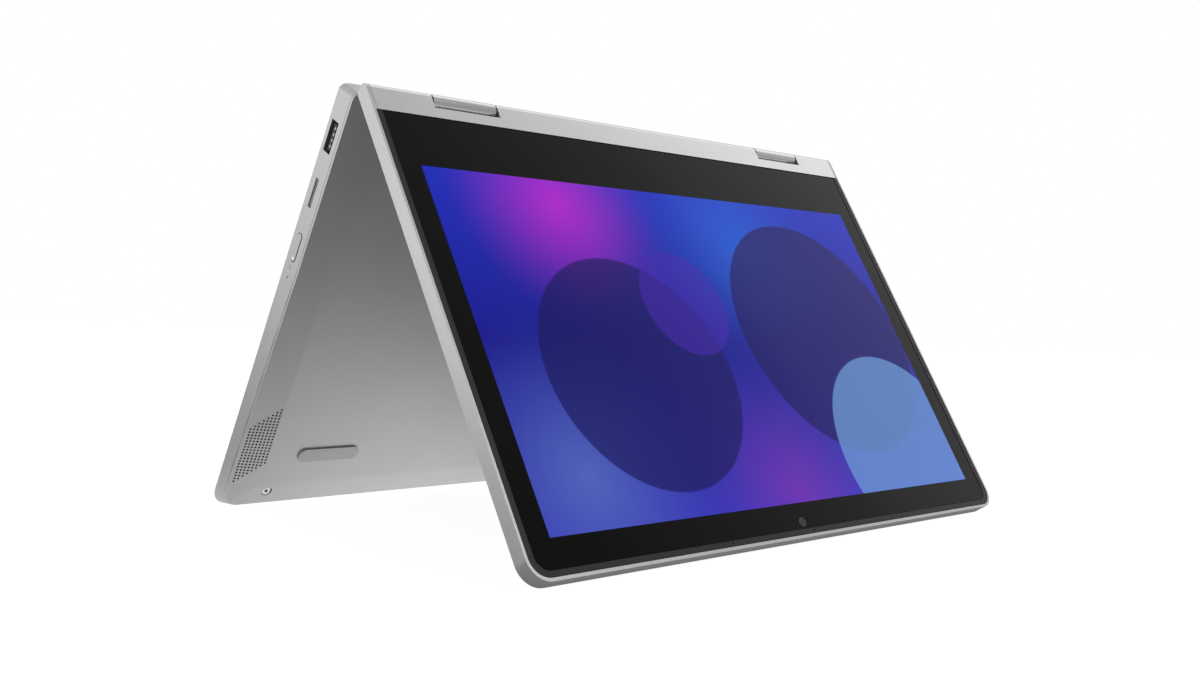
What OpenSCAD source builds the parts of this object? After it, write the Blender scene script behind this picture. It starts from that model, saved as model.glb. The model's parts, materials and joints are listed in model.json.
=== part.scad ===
// Fanless 360-degree convertible laptop with an 11.6 inch screen, standing as a tent.
// Every piece is drawn flat, as in the closed laptop: X runs across, Y from the hinge to the
// front edge, Z up. base_frame, link_frame and lid_frame then fold the three parts open.

/* [Overall] */
// Width of the base and the lid
body_w = 282.4; // [278:0.2:300]
// Distance from a hinge axis to the front edge
hinge_to_front = 191; // [188:0.1:200]
// Angle between the lid and the closed position
lid_open = 300; // [270:5:330]

/* [Base] */
// Thickness of the base without its feet
base_t = 11.7; // [11.4:0.1:14]
// Length of base behind the hinge axis
base_rear = 3.3; // [3.2:0.05:4]
// Rounding of the rear edges in side view
rear_round = 3.2; // [2:0.1:3.3]
// Plan radius of the rear corners
rear_corner_r = 4; // [2:0.5:6]
// Radius of the front corners
front_corner_r = 7; // [6:0.5:10]
// Setback of the front wall at its lower edge
front_setback = 4.8; // [4:0.2:8]
// Width of the belly bevel along the sides and the front
bevel_w = 13.1; // [10:0.1:15]
// Height of the belly bevel at the front
bevel_front_h = 3.5; // [2:0.1:4]
// Height of the belly bevel at the rear ends of the sides
bevel_rear_h = 0.8; // [0.4:0.1:1]
// Distance from the hinge axis to where the side bevels start to deepen
bevel_start = 76; // [60:1:100]
// Thickness of the side walls
wall = 1.2; // [1:0.05:1.4]
// Thickness of the keyboard deck plate
deck_t = 1.2; // [1:0.05:1.3]
// Thickness of the bottom cover
cover_t = 1.2; // [1:0.05:1.3]
// Parting gap around the bottom cover
cover_gap = 0.15; // [0.1:0.05:0.3]

/* [Hinges] */
// Distance of the hinge centres from the sides
hinge_side = 45.1; // [43:0.1:50]
// Width of a hinge barrel
barrel_w = 30.2; // [24:0.2:34]
// Radius of a hinge barrel
barrel_r = 3.1; // [2.8:0.05:3.3]
// Side gap between a barrel and its notch
barrel_gap = 0.8; // [0.4:0.1:1.2]
// Depth of the notches in front of the axis
notch_y = 4.9; // [4.2:0.1:5.6]
// Wall around the notches
notch_wall = 1.2; // [0.9:0.1:1.4]
// Radius of the hinge shafts
shaft_r = 1.2; // [1:0.05:1.3]
// Length of the bracket knuckles
knuckle_w = 14; // [10:1:16]
// Outer radius of the lid knuckles
lid_knuckle_r = 1.95; // [1.8:0.05:2]
// Outer radius of the base knuckles
base_knuckle_r = 1.95; // [1.8:0.05:2]
// Running clearance of the shafts
running = 0.05; // [0.02:0.01:0.08]
// Clearance of the shafts through the notch walls
pass_gap = 0.3; // [0.25:0.05:0.4]
// Gap between the closed lid and the deck
closed_gap = 0.8; // [0.7:0.05:1.2]
// Gap between the folded lid and the belly
folded_gap = 1.6; // [1.5:0.05:2.2]

/* [Lid] */
// Thickness of the lid
lid_t = 6; // [5.8:0.1:7]
// Plan radius of the lid's far corners
lid_corner_r = 8.5; // [6:0.5:10]
// Plan radius of the lid's hinge corners
lid_hinge_corner_r = 1.1; // [0.8:0.1:2.5]
// Thickness of the lid's back wall
lid_back_t = 1.1; // [0.9:0.05:1.3]
// Thickness of the lid's rim
rim_t = 1.1; // [0.9:0.05:1.3]
// Thickness of the lid's rim at its far edge
rim_far_t = 1.2; // [1:0.05:1.6]
// Distance from the lid's hinge axis to the glass
strip_y = 9.6; // [9:0.1:11]
// Length of the cover behind the hinge strip at each end
strip_end = 1.8; // [1.4:0.1:2.4]
// Thickness of the hinge strip's shell
strip_t = 0.95; // [0.8:0.05:1]

/* [Screen] */
// Black border at the sides of the picture
black_side = 9.25; // [8:0.05:12]
// Black border above the picture
black_far = 10.6; // [9:0.1:14]
// Distance from the hinge axis to the picture
active_y = 32.7; // [30:0.1:36]
// Width of the bezel ring at the sides
ring_w = 2.4; // [2:0.1:3.5]
// Thickness of the touch glass
glass_t = 0.9; // [0.6:0.05:1.1]
// Depth of the glass below the rim
glass_recess = 0.4; // [0.2:0.05:0.6]
// Distance from the glass's far edge to the lid's far edge
glass_far = 3.7; // [3.4:0.1:5]
// Radius of the far corners of the glass
glass_corner_r = 5.2; // [3:0.2:6]
// Gap around the touch glass
glass_gap = 0.15; // [0.1:0.05:0.2]
// Depth of the bezel ring below the rim
ring_recess = 0.2; // [0.1:0.05:0.3]
// Height of the bezel ring
ring_t = 2.2; // [1.6:0.1:2.6]
// Gap between the bezel ring and the rim
ring_gap = 0.25; // [0.15:0.05:0.35]
// Thickness of the display panel
panel_t = 2.4; // [2:0.1:2.7]
// Border of the panel around the picture at its sides
panel_side = 3; // [2:0.2:4]
// Border of the panel below the picture
panel_foot = 11; // [8:0.5:14]
// Border of the panel above the picture
panel_top = 4; // [2:0.5:5]
// Distance from the camera to the lid's far edge
camera_far = 6.5; // [6:0.1:7.5]
// Radius of the camera lens
camera_r = 1.4; // [1:0.1:1.6]

/* [Keyboard] */
// Distance of the key field from the sides
keys_side = 16.7; // [16:0.1:20]
// Key pitch along the depth
row_pitch = 16.2; // [15:0.1:16.4]
// Height of the function row
fn_pitch = 10.2; // [9:0.1:10.6]
// Gap between two keys
key_gap = 2.2; // [1.8:0.1:3]
// Corner radius of a key
key_r = 1.3; // [0.8:0.1:1.8]
// Distance from the hinge axis to the key field
keys_y = 26; // [24:0.5:30]
// Depth of the key field below the deck
well_d = 1; // [0.8:0.05:1.1]
// Margin of the key field around the keys
well_margin = 0.5; // [0.3:0.1:1]
// Height of a key cap
cap_h = 2.2; // [1.9:0.05:2.3]
// Depth of the key tops below the deck
cap_recess = 0.1; // [0:0.05:0.2]
// Travel of the keys
key_travel = 1.1; // [0.8:0.05:1.2]
// Gap between a key and its opening
key_clear = 0.35; // [0.3:0.05:0.45]
// Thickness of the keyboard's metal base
plate_t = 0.4; // [0.3:0.05:0.5]
// Thickness of the switch membrane
membrane_t = 0.2; // [0.15:0.05:0.3]

/* [Touchpad] */
// Width of the touchpad
pad_w = 102; // [90:1:110]
// Distance from the key field to the touchpad
pad_rear = 7.6; // [6:0.2:16]
// Distance from the touchpad to the front edge
pad_front = 8; // [6:0.5:10]
// Corner radius of the touchpad
pad_r = 2; // [1:0.2:3]
// Thickness of the touchpad
pad_t = 1.3; // [1:0.1:1.5]
// Depth of the touchpad below the deck
pad_recess = 0.2; // [0.1:0.05:0.3]
// Gap around the touchpad
pad_gap = 0.35; // [0.3:0.05:0.5]
// Click travel of the touchpad's front edge
pad_travel = 0.5; // [0.3:0.1:0.6]

/* [Side connectors] */
// Depth of the connector centres below the deck
port_drop = 4.5; // [4.3:0.1:4.8]
// Place of the right USB socket along the side
usb_y = 17.8; // [16:0.1:19]
// Width of a USB socket
usb_w = 12.8; // [12.4:0.1:13]
// Height of a USB socket
usb_h = 4.9; // [4.7:0.1:5.1]
// Depth of a USB socket
usb_depth = 13; // [11:0.5:13.4]
// Wall of a socket shell
shell_t = 0.35; // [0.3:0.05:0.45]
// Place of the card slot
card_y = 41.2; // [39:0.1:43]
// Width of the card slot
card_w = 12.1; // [11.4:0.1:12.6]
// Height of the card slot
card_h = 2.2; // [1.6:0.1:2.4]
// Place of the power button
power_y = 64.8; // [62:0.1:68]
// Length of the power button
power_w = 12; // [10:0.2:14]
// Height of the power button
power_h = 3; // [2.4:0.1:3.4]
// Travel of the power button
power_travel = 0.5; // [0.3:0.05:0.6]
// Place of the reset pinhole
pinhole_y = 78; // [75:0.1:80]
// Radius of the reset pinhole
pinhole_r = 0.4; // [0.3:0.05:0.6]
// Place of the power inlet
inlet_y = 14; // [13.5:0.1:16]
// Radius of the power inlet's bore
inlet_r = 2; // [1.6:0.05:2.1]
// Place of the HDMI socket
hdmi_y = 31; // [30:0.1:33]
// Width of the HDMI socket
hdmi_w = 14; // [13.8:0.1:15]
// Height of the HDMI socket
hdmi_h = 4.5; // [4.3:0.1:4.7]
// Place of the left USB socket
usb_left_y = 50; // [49:0.1:52]
// Place of the USB-C socket
usbc_y = 66; // [65:0.1:68]
// Width of the USB-C socket
usbc_w = 9; // [8.7:0.1:9.4]
// Height of the USB-C socket
usbc_h = 3.2; // [3:0.05:3.4]
// Place of the audio jack
jack_y = 78; // [76:0.1:82]
// Radius of the audio jack's bore
jack_r = 1.75; // [1.7:0.01:1.8]

/* [Feet and screws] */
// Distance of the front feet's middle from the sides
foot_side = 41.5; // [36:0.5:60]
// Distance of the front feet from the hinge axis
foot_y = 159.6; // [150:0.2:163]
// Length of a front foot
foot_len = 29.8; // [24:0.2:36]
// Width of the feet
foot_w = 6.3; // [5:0.1:9]
// Height of the feet
foot_h = 0.9; // [0.8:0.05:1.3]
// Length of the rear foot
rear_foot_len = 150; // [120:1:160]
// Distance of the rear foot from the hinge axis
rear_foot_y = 24; // [20:0.5:30]
// Distance of the front screws from the sides
screw_side = 18.2; // [16:0.2:22]
// Distance of the front screws from the hinge axis
screw_front_y = 178.9; // [176:0.1:180]
// Distance of the outer rear screws from the sides
screw_rear_side = 21.2; // [19:0.2:23]
// Distance of the inner rear screws from the middle
screw_inner_x = 40; // [30:1:46]
// Distance of the rear screws from the hinge axis
screw_rear_y = 3; // [2.6:0.1:3.6]
// Depth of the screw heads below the belly
head_sink = 0.5; // [0.2:0.05:1]
// Radius of a screw's recess
recess_r = 2.4; // [2.2:0.1:3]
// Radius of a screw head
head_r = 1.9; // [1.7:0.1:2]
// Height of a screw head
head_h = 0.9; // [0.7:0.05:1]
// Radius of a screw's shank
screw_r = 0.95; // [0.8:0.05:1]

/* [Inside] */
// Thickness of the circuit boards
board_t = 1; // [0.8:0.1:1.2]
// Width of the mainboard
board_w = 196; // [180:1:200]
// Rear edge of the boards
board_y = 9; // [8.5:0.1:9]
// Depth of the mainboard
board_h = 66; // [60:1:68]
// Width of the connector board
io_w = 26; // [24:0.5:30]
// Depth of the connector board
io_h = 74; // [72:1:78]
// Distance of the battery from the sides
battery_side = 46; // [42:1:70]
// Gap between the boards and the battery
battery_rear = 4; // [3:0.5:12]
// Thickness of the battery
battery_t = 4.8; // [4:0.1:5.2]
// Distance from the battery to the front edge
battery_front = 24; // [22:0.5:28]
// Width of a speaker box
speaker_w = 11; // [9:0.5:11.5]
// Length of a speaker box
speaker_len = 40; // [34:1:44]
// Height of a speaker box
speaker_t = 5; // [4:0.1:5.4]
// Distance of the speakers' middle from the hinge axis
speaker_y = 152; // [146:0.5:154]
// Thickness of the chips and cards
chip_h = 1.4; // [1:0.1:1.6]
// Side of the processor across
cpu_w = 24; // [18:1:28]
// Side of the processor along the depth
cpu_h = 16; // [12:1:20]
// Thickness of the heat spreader
spreader_t = 0.5; // [0.4:0.05:0.8]
// Side of a memory chip
memory_w = 10; // [8:0.5:11]
// Width of the storage module
storage_w = 42; // [30:1:42]
// Width of the wireless card
wireless_w = 22; // [16:1:22]
// Depth of the storage module and length of the wireless card's short side
card_module_h = 22; // [20:1:24]
// Thickness of the cables
cable_t = 0.3; // [0.2:0.05:0.4]
// Width of the cables
cable_w = 10; // [6:0.5:12]
// Width of the friction washers
washer_w = 1.6; // [1.2:0.1:2]

// Gap between the boards and the side walls
board_gap = 1.5; // [1.2:0.1:2]
// Distance of the board screws from the board edges
board_corner = 4; // [3:0.5:6]
// Radius of the posts under the boards
post_r = 2.2; // [1.8:0.1:2.6]
// Radius of a board screw's head
small_head_r = 1.7; // [1.4:0.1:2]
// Height of a board screw's head
small_head_h = 0.7; // [0.5:0.05:0.9]
// Gap between the speakers and the side walls
speaker_gap = 0.8; // [0.5:0.1:0.9]
// Gap between the processor and the memory
memory_gap = 4; // [2:0.5:6]
// Width of the camera board
camera_board_w = 32; // [24:1:36]
// Depth of the camera and microphone boards
camera_board_h = 4.2; // [3.4:0.1:4.4]
// Distance of the outer microphone hole from the middle
mic_x = 44; // [36:1:60]
// Distance of the inner microphone hole from the middle
mic_inner_x = 5; // [4:0.5:12]
// Radius of a microphone hole
mic_r = 0.4; // [0.3:0.05:0.6]
// Width of a microphone board
mic_board_w = 32; // [20:1:36]
// Distance of the antennas from the middle
antenna_x = 3; // [2:0.5:8]
// Width of an antenna
antenna_w = 24; // [18:1:30]

/* [Hidden] */
$fn = 48;

half_w = body_w / 2;
side_seat = 0.1;                                   // gap under pieces that lie on a plate
thread_end = 1.5;                                  // solid deck boss past a screw's hole
thread_gap = 0.5;                                  // room past a screw's tip
plate_rim = 1;                                     // folded rim of the keyboard's metal base
pad_rim = 3;                                       // rim of the touchpad's frame
button_proud = 0.2;                                // the power button stands out of the wall
tongue_back = 1;                                   // a tongue ends this far inside its socket
tongue_side = 2;                                   // room beside a tongue
socket_wall = 1;                                   // wall around a round socket
usbc_depth = usb_depth * 0.7;
inlet_depth = usb_depth * 0.77;
jack_depth = usb_depth * 0.92;
bracket_t = 1.1;                                   // thickness of the hinge brackets
bracket_y = keys_y - 4;                            // front end of the base hinge brackets
arm_len = 8;                                       // reach of the lid brackets past the strip
lid_screw_in = 3.5;                                // place of the lid screws in the brackets
lid_head_h = 0.5;
lid_head_r = 1.5;
snug = 0.02;                                       // radial play of pressed and screwed fits
overlap = 0.01;                                    // depth by which joined forms meet
through = 1;                                       // run of a cut past the piece it goes through
inner_r = 0.5;                                     // radius of small inner corners
hinge_x = half_w - hinge_side;
screw_x = half_w - screw_side;
screw_rear_x = half_w - screw_rear_side;
foot_x = half_w - foot_side;
// Hinge geometry: both hinge axes turn half the lid angle each
lid_axis_z = lid_t / 2;                            // lid axis in the middle of the lid
axes_gap = (base_t + lid_t + closed_gap + folded_gap) / 2;
base_axis_z = base_t + closed_gap + lid_axis_z - axes_gap;
half_open = lid_open / 2;
notch_x0 = hinge_x - barrel_w / 2 - barrel_gap;
notch_x1 = hinge_x + barrel_w / 2 + barrel_gap;
// Levels in the base
deck_bottom = base_t - deck_t;
well_floor = base_t - well_d;
well_bottom = well_floor - deck_t;
cap_bottom = base_t - cap_recess - cap_h;
press_room = 0.3;                                  // room left under the pressed keys
membrane_z = cap_bottom - key_travel - press_room - membrane_t;
plate_z = membrane_z - plate_t;
port_z = base_t - port_drop;
board_top = port_z - usb_h / 2 - shell_t - side_seat;
board_z = board_top - board_t;
front_lean = atan(front_setback / (base_t - bevel_front_h));
// Belly bevels: their fold lines, and their height at the sides
fold_x = half_w - bevel_w;
belly_front = hinge_to_front - front_setback;
fold_y = belly_front - bevel_w;
side_strips = 5;                                   // flat strips along a deepening side bevel
function bevel_h(y) = bevel_rear_h + (bevel_front_h - bevel_rear_h)
    * max(0, (y - bevel_start) / (belly_front - bevel_start));
function belly_side(x, y) = bevel_h(y) * max(0, x - fold_x) / bevel_w;
function belly_front_z(y) = bevel_front_h * max(0, y - fold_y) / bevel_w;
// Key field
units = 15;
field_w = body_w - 2 * keys_side;
key_pitch = field_w / units;
field_h = fn_pitch + 5 * row_pitch;
row_y = [for (i = [0:5]) keys_y + (i == 0 ? 0 : fn_pitch + (i - 1) * row_pitch)];
row_h = [for (i = [0:5]) i == 0 ? fn_pitch : row_pitch];
// Key widths in units, from the user's left (+X) to the right
function_units = [for (i = [0:14]) 1];
number_units = concat([for (i = [0:12]) 1], [2]);
top_units = concat([1.5], [for (i = [0:11]) 1], [1.5]);
home_units = concat([1.75], [for (i = [0:10]) 1], [2.25]);
bottom_units = concat([2.25], [for (i = [0:9]) 1], [2.75]);
modifier_units = [1.25, 1, 1, 1, 5.25, 1, 1, 1.25, 1.25, 1];
rows = [function_units, number_units, top_units, home_units, bottom_units, modifier_units];
// Touchpad
pad_y1 = hinge_to_front - pad_front;
pad_y0 = keys_y + field_h + pad_rear;
pad_top = base_t - pad_recess;
pad_drop = 0.4;                                    // room left under the pressed pad
// Lid levels, measured from the lid axis; the screen side is -Z
lid_front_z = -lid_axis_z;
lid_back_z = lid_t - lid_axis_z;
glass_z = lid_front_z + glass_recess;
ring_z = lid_front_z + ring_recess;
panel_z = glass_z + glass_t;
panel_back = panel_z + panel_t;
glass_y1 = hinge_to_front - glass_far;
glass_y0 = strip_y + glass_gap;
glass_w = body_w - 2 * (rim_t + ring_gap + ring_w + glass_gap);
active_w = glass_w - 2 * black_side;
active_h = glass_y1 - black_far - active_y;
// The tent: the base's front edge and the lid's far edge both rest on the floor
function turn(y, z, a) = [y * cos(a) - z * sin(a), y * sin(a) + z * cos(a)];
base_edge = [hinge_to_front, base_t];
lid_axis = [0, base_axis_z] + turn(0, axes_gap, half_open);
lid_edge = lid_axis + turn(hinge_to_front, lid_back_z, lid_open);
lid_rim = lid_axis + turn(hinge_to_front, lid_front_z, lid_open);
tilt = -atan2(base_edge[1] - lid_edge[1], base_edge[0] - lid_edge[0]);
floor_z = turn(base_edge[0], base_edge[1], tilt)[1];
middle_y = (turn(base_edge[0], base_edge[1], tilt)[0] + turn(lid_rim[0], lid_rim[1], tilt)[0]) / 2;

module base_frame() {
    translate([0, -middle_y, -floor_z]) rotate([tilt, 0, 0]) children();
}

module link_frame() {
    base_frame() translate([0, 0, base_axis_z]) rotate([half_open, 0, 0]) children();
}

module lid_frame() {
    link_frame() translate([0, 0, axes_gap]) rotate([half_open, 0, 0]) children();
}

module both_sides() {
    children();
    mirror([1, 0, 0]) children();
}

// Rounded rectangle from [x0, y0] to [x1, y1]: radius ra along y0, rb along y1
module rounded(x0, y0, x1, y1, ra, rb) {
    union() {
        translate([x0, y0 + ra]) square([x1 - x0, y1 - y0 - ra - rb]);
        translate([x0 + ra, y0]) square([x1 - x0 - 2 * ra, ra + overlap]);
        translate([x0 + rb, y1 - rb - overlap])
            square([x1 - x0 - 2 * rb, rb + overlap]);
        for (x = [x0 + ra, x1 - ra]) translate([x, y0 + ra]) circle(ra);
        for (x = [x0 + rb, x1 - rb]) translate([x, y1 - rb]) circle(rb);
    }
}

module plate(x0, y0, x1, y1, ra, rb, z0, z1) {
    translate([0, 0, z0]) linear_extrude(z1 - z0) rounded(x0, y0, x1, y1, ra, rb);
}

module block(x0, x1, y0, y1, z0, z1) {
    translate([x0, y0, z0]) cube([x1 - x0, y1 - y0, z1 - z0]);
}

module post(x, y, z0, z1, r) {
    translate([x, y, z0]) cylinder(h = z1 - z0, r = r);
}

module rod(x0, x1, y, z, r) {
    translate([x0, y, z]) rotate([0, 90, 0]) cylinder(h = x1 - x0, r = r);
}

// An outline in Y and Z, extruded across from x0 to x1
module along_x(x0, x1) {
    translate([x0, 0, 0]) rotate([90, 0, 90]) linear_extrude(x1 - x0) children();
}

// Base: outer shape

// Side view with rounded rear edges
module base_side_view() {
    y0 = rear_round - base_rear;
    union() {
        translate([y0, rear_round]) circle(rear_round);
        translate([y0, base_t - rear_round]) circle(rear_round);
        polygon([[-base_rear, rear_round], [-base_rear, base_t - rear_round], [y0, base_t],
            [hinge_to_front, base_t], [hinge_to_front, 0], [y0, 0]]);
    }
}

// Everything below the belly, which is raised by lift: a flat middle, a bevel along the front,
// and side bevels that deepen towards it. It reaches past the base on every side.
module below_belly(lift) {
    strips = [for (i = [0:side_strips])
        bevel_start + (fold_y - bevel_start) * i / side_strips];
    stations = concat([-body_w], strips, [belly_front + bevel_w]);
    last = len(stations) - 1;
    rim_x = half_w + bevel_w;
    rim_z = [for (i = [0:last]) lift + 2 * (i < last ? bevel_h(stations[i]) : bevel_front_h)];
    fold_z = [for (i = [0:last]) lift + (i < last ? 0 : 2 * bevel_front_h)];
    raised = [for (i = [0:last]) each [[-rim_x, stations[i], rim_z[i]],
        [-fold_x, stations[i], fold_z[i]], [fold_x, stations[i], fold_z[i]],
        [rim_x, stations[i], rim_z[i]]]];
    n = len(raised);
    low = [for (i = [0, 3, n - 1, n - 4]) [raised[i][0], raised[i][1], -base_t]];
    left_bevel = [for (k = [0:4:n - 8]) each [[k, k + 4, k + 1], [k + 1, k + 4, k + 5]]];
    right_bevel = [for (k = [2:4:n - 6]) each [[k, k + 5, k + 1], [k, k + 4, k + 5]]];
    middle = concat([for (k = [1:4:n - 7]) k], [for (k = [n - 6:-4:2]) k]);
    front_bevel = [n - 7, n - 3, n - 2, n - 6];
    rear_wall = [n, 0, 1, 2, 3, n + 1];
    front_wall = [n + 2, n - 1, n - 2, n - 3, n - 4, n + 3];
    left_wall = concat([n + 3], [for (k = [n - 4:-4:0]) k], [n]);
    right_wall = concat([n + 1], [for (k = [3:4:n - 1]) k], [n + 2]);
    polyhedron(concat(raised, low), concat(left_bevel, right_bevel, [middle, front_bevel,
        rear_wall, front_wall, left_wall, right_wall, [n, n + 1, n + 2, n + 3]]));
}

// Everything at least inset inside the side, rear and slanted front walls
module inside_walls(inset, z0, z1) {
    reach = 2 * hinge_to_front;
    front_v = hinge_to_front * cos(front_lean) - base_t * sin(front_lean);
    intersection() {
        plate(inset - half_w, inset - base_rear, half_w - inset, reach,
            rear_corner_r - inset, inner_r, z0, z1);
        rotate([-front_lean, 0, 0]) plate(inset - half_w, -hinge_to_front, half_w - inset,
            front_v - inset, inner_r, front_corner_r - inset, -hinge_to_front, reach);
    }
}

module base_solid() {
    difference() {
        intersection() {
            along_x(-half_w, half_w) base_side_view();
            inside_walls(0, -base_t, 2 * base_t);
        }
        below_belly(0);
    }
}

// Notches for the hinge barrels, widened by grow on every side
module notches(grow, z0, z1) {
    both_sides() block(notch_x0 - grow, notch_x1 + grow, -2 * base_rear - lid_t, notch_y + grow, z0, z1);
}

// Keyboard and deck

function sum_to(list, n) = n == 0 ? 0 : list[n - 1] + sum_to(list, n - 1);
function key_left(r, i) = field_w / 2 - key_pitch * sum_to(rows[r], i);
function key_right(r, i) = key_left(r, i) - key_pitch * rows[r][i];

// Outline of one key with its corners cut by a short arc
module key_outline(r, i, grow) {
    x0 = key_right(r, i) + key_gap / 2 - grow;
    x1 = key_left(r, i) - key_gap / 2 + grow;
    y0 = row_y[r] + key_gap / 2 - grow;
    y1 = row_y[r] + row_h[r] - key_gap / 2 + grow;
    c = [[x1 - key_r, y1 - key_r], [x0 + key_r, y1 - key_r], [x0 + key_r, y0 + key_r],
        [x1 - key_r, y0 + key_r]];
    polygon([for (k = [0:3]) for (a = [0:45:90])
        c[k] + key_r * [cos(90 * k + a), sin(90 * k + a)]]);
}

module keys(r, first, last) {
    for (i = [first:last])
        translate([0, 0, cap_bottom]) linear_extrude(cap_h) key_outline(r, i, 0);
}

// Places of the belly's screws, each with the height of the belly there
screw_spots = [for (s = [-1, 1]) each [
    [s * screw_x, screw_front_y, belly_front_z(screw_front_y)],
    [s * screw_rear_x, screw_rear_y, 0], [s * screw_inner_x, screw_rear_y, 0]]];
function recess_top(p) = p[2] + head_sink + head_h;
function cup_top(p) = recess_top(p) + cover_t;

// Cuts through the right and the left side wall for one rectangular connector
module wall_cut(side, y, w, h) {
    x0 = side * (half_w - wall / 2);
    block(x0 - 2 * wall, x0 + 2 * wall, y - w / 2, y + w / 2, port_z - h / 2, port_z + h / 2);
}

module wall_bore(side, y, r) {
    rod(side * half_w - 2 * wall, side * half_w + 2 * wall, y, port_z, r);
}

// A slot with round ends through the right side wall
module power_slot(x0, x1, grow) {
    h = power_h + 2 * grow;
    w = power_w + 2 * grow;
    union() {
        block(x0, x1, power_y - w / 2 + h / 2, power_y + w / 2 - h / 2, port_z - h / 2,
            port_z + h / 2);
        for (s = [-1, 1]) rod(x0, x1, power_y + s * (w - h) / 2, port_z, h / 2);
    }
}

module keyboard_deck() {
    cut_x = half_w + through;
    well_x = field_w / 2 + well_margin;
    well_y0 = keys_y - well_margin;
    well_y1 = keys_y + field_h + well_margin;
    color("silver") base_frame() difference() {
        union() {
            difference() {
                base_solid();
                inside_walls(wall, -base_t, deck_bottom);
                below_belly(cover_t + cover_gap);
            }
            intersection() {
                base_solid();
                notches(notch_wall, -through, base_t);
            }
            block(-well_x - deck_t, well_x + deck_t, well_y0 - deck_t, well_y1 + deck_t,
                well_bottom, deck_bottom + overlap);
            for (p = screw_spots)
                post(p[0], p[1], cup_top(p) + side_seat, deck_bottom + overlap, recess_r);
        }
        notches(0, -base_t, 2 * base_t);
        block(-well_x, well_x, well_y0, well_y1, well_floor, base_t + through);
        translate([0, 0, well_bottom - through]) linear_extrude(deck_t + 2 * through)
            for (r = [0:5]) for (i = [0:len(rows[r]) - 1]) key_outline(r, i, key_clear);
        plate(-pad_w / 2 - pad_gap, pad_y0 - pad_gap, pad_w / 2 + pad_gap, pad_y1 + pad_gap,
            pad_r, pad_r, deck_bottom - through, base_t + through);
        for (p = screw_spots) post(p[0], p[1], cup_top(p) - through, deck_bottom - thread_end,
            screw_r + snug);
        both_sides() rod(notch_x0 - 2 * notch_wall, notch_x1, 0, base_axis_z, shaft_r + pass_gap);
        wall_cut(-1, usb_y, usb_w, usb_h);
        wall_cut(-1, card_y, card_w, card_h);
        power_slot(-cut_x, wall + through - half_w, pass_gap);
        wall_bore(-1, pinhole_y, pinhole_r);
        wall_bore(1, inlet_y, inlet_r + side_seat);
        wall_cut(1, hdmi_y, hdmi_w, hdmi_h);
        wall_cut(1, usb_left_y, usb_w, usb_h);
        wall_cut(1, usbc_y, usbc_w, usbc_h);
        wall_bore(1, jack_y, jack_r + shell_t);
    }
}

module bottom_cover() {
    inset = wall + cover_gap;
    color("silver") base_frame() difference() {
        union() {
            intersection() {
                base_solid();
                below_belly(cover_t);
            }
            intersection() {
                union() {
                    for (p = screw_spots)
                        post(p[0], p[1], -through, cup_top(p), recess_r + cover_t);
                    for (p = board_spots) post(p[0], p[1], cover_t / 2, board_z, post_r);
                }
                base_solid();
                inside_walls(inset, -through, deck_bottom);
            }
        }
        notches(notch_wall + cover_gap, -base_t, base_t);
        for (p = screw_spots) {
            post(p[0], p[1], -through, recess_top(p), recess_r);
            post(p[0], p[1], -through, base_t, screw_r + pass_gap);
        }
        for (p = board_spots) post(p[0], p[1], cover_t, base_t, screw_r + snug);
    }
}

module bottom_screws() {
    color("gray") base_frame() for (p = screw_spots) {
        post(p[0], p[1], recess_top(p) - head_h, recess_top(p), head_r);
        post(p[0], p[1], recess_top(p) - overlap, deck_bottom - thread_end - thread_gap, screw_r);
    }
}

module keyboard_backplate() {
    x = field_w / 2 + well_margin;
    y0 = keys_y - well_margin;
    y1 = keys_y + field_h + well_margin;
    color("dimgray") base_frame() difference() {
        block(-x, x, y0, y1, plate_z, well_bottom - side_seat / 2);
        block(plate_rim - x, x - plate_rim, y0 + plate_rim, y1 - plate_rim, plate_z + plate_t,
            base_t);
    }
}

module key_membrane() {
    x = field_w / 2 - well_margin - side_seat;
    color("whitesmoke") base_frame() block(-x, x, keys_y + well_margin + side_seat,
        keys_y + field_h - well_margin - side_seat, membrane_z, membrane_z + membrane_t);
}

module key_colour() {
    color([0.24, 0.25, 0.27]) base_frame() children();
}

module function_keys() { key_colour() keys(0, 0, 14); }
module number_keys() { key_colour() keys(1, 0, 12); }
module backspace_key() { key_colour() keys(1, 13, 13); }
module top_letter_keys() { key_colour() keys(2, 0, 13); }
module home_letter_keys() { key_colour() keys(3, 0, 11); }
module enter_key() { key_colour() keys(3, 12, 12); }
module bottom_letter_keys() { key_colour() keys(4, 0, 11); }
module space_bar() { key_colour() keys(5, 4, 4); }

module modifier_keys() {
    key_colour() {
        keys(5, 0, 3);
        keys(5, 5, 9);
    }
}

module touchpad() {
    color("silver") base_frame() plate(-pad_w / 2, pad_y0, pad_w / 2, pad_y1, pad_r, pad_r,
        pad_top - pad_t, pad_top);
}

// Steel frame screwed under the deck around the touchpad
module touchpad_bracket() {
    floor_top = pad_top - pad_t - pad_travel - pad_drop;
    x = pad_w / 2 + pad_gap + pad_rim;
    y0 = pad_y0 - pad_gap - pad_rim;
    y1 = pad_y1 + pad_gap + pad_rim / 2;
    color("lightgray") base_frame() difference() {
        block(-x, x, y0, y1, floor_top - plate_t, deck_bottom - side_seat / 2);
        block(pad_rim - x, x - pad_rim, y0 + pad_rim, y1 - pad_rim / 2, floor_top, base_t);
    }
}

module power_button() {
    color("silver") base_frame() power_slot(-half_w - button_proud, 2 * wall - half_w,
        0);
}

// Boards, chips and battery

board_x1 = half_w - wall - board_gap;
board_x0 = board_x1 - board_w;
io_x0 = wall + board_gap - half_w;
io_x1 = io_x0 + io_w;
board_spots = [[board_x0 + board_corner, board_y + board_corner],
    [board_x0 + board_corner, board_y + board_h - board_corner],
    [screw_inner_x + board_corner, board_y + board_h - board_corner],
    [io_x1 - board_corner, board_y + board_corner],
    [io_x1 - board_corner, board_y + io_h - board_corner]];

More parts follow.
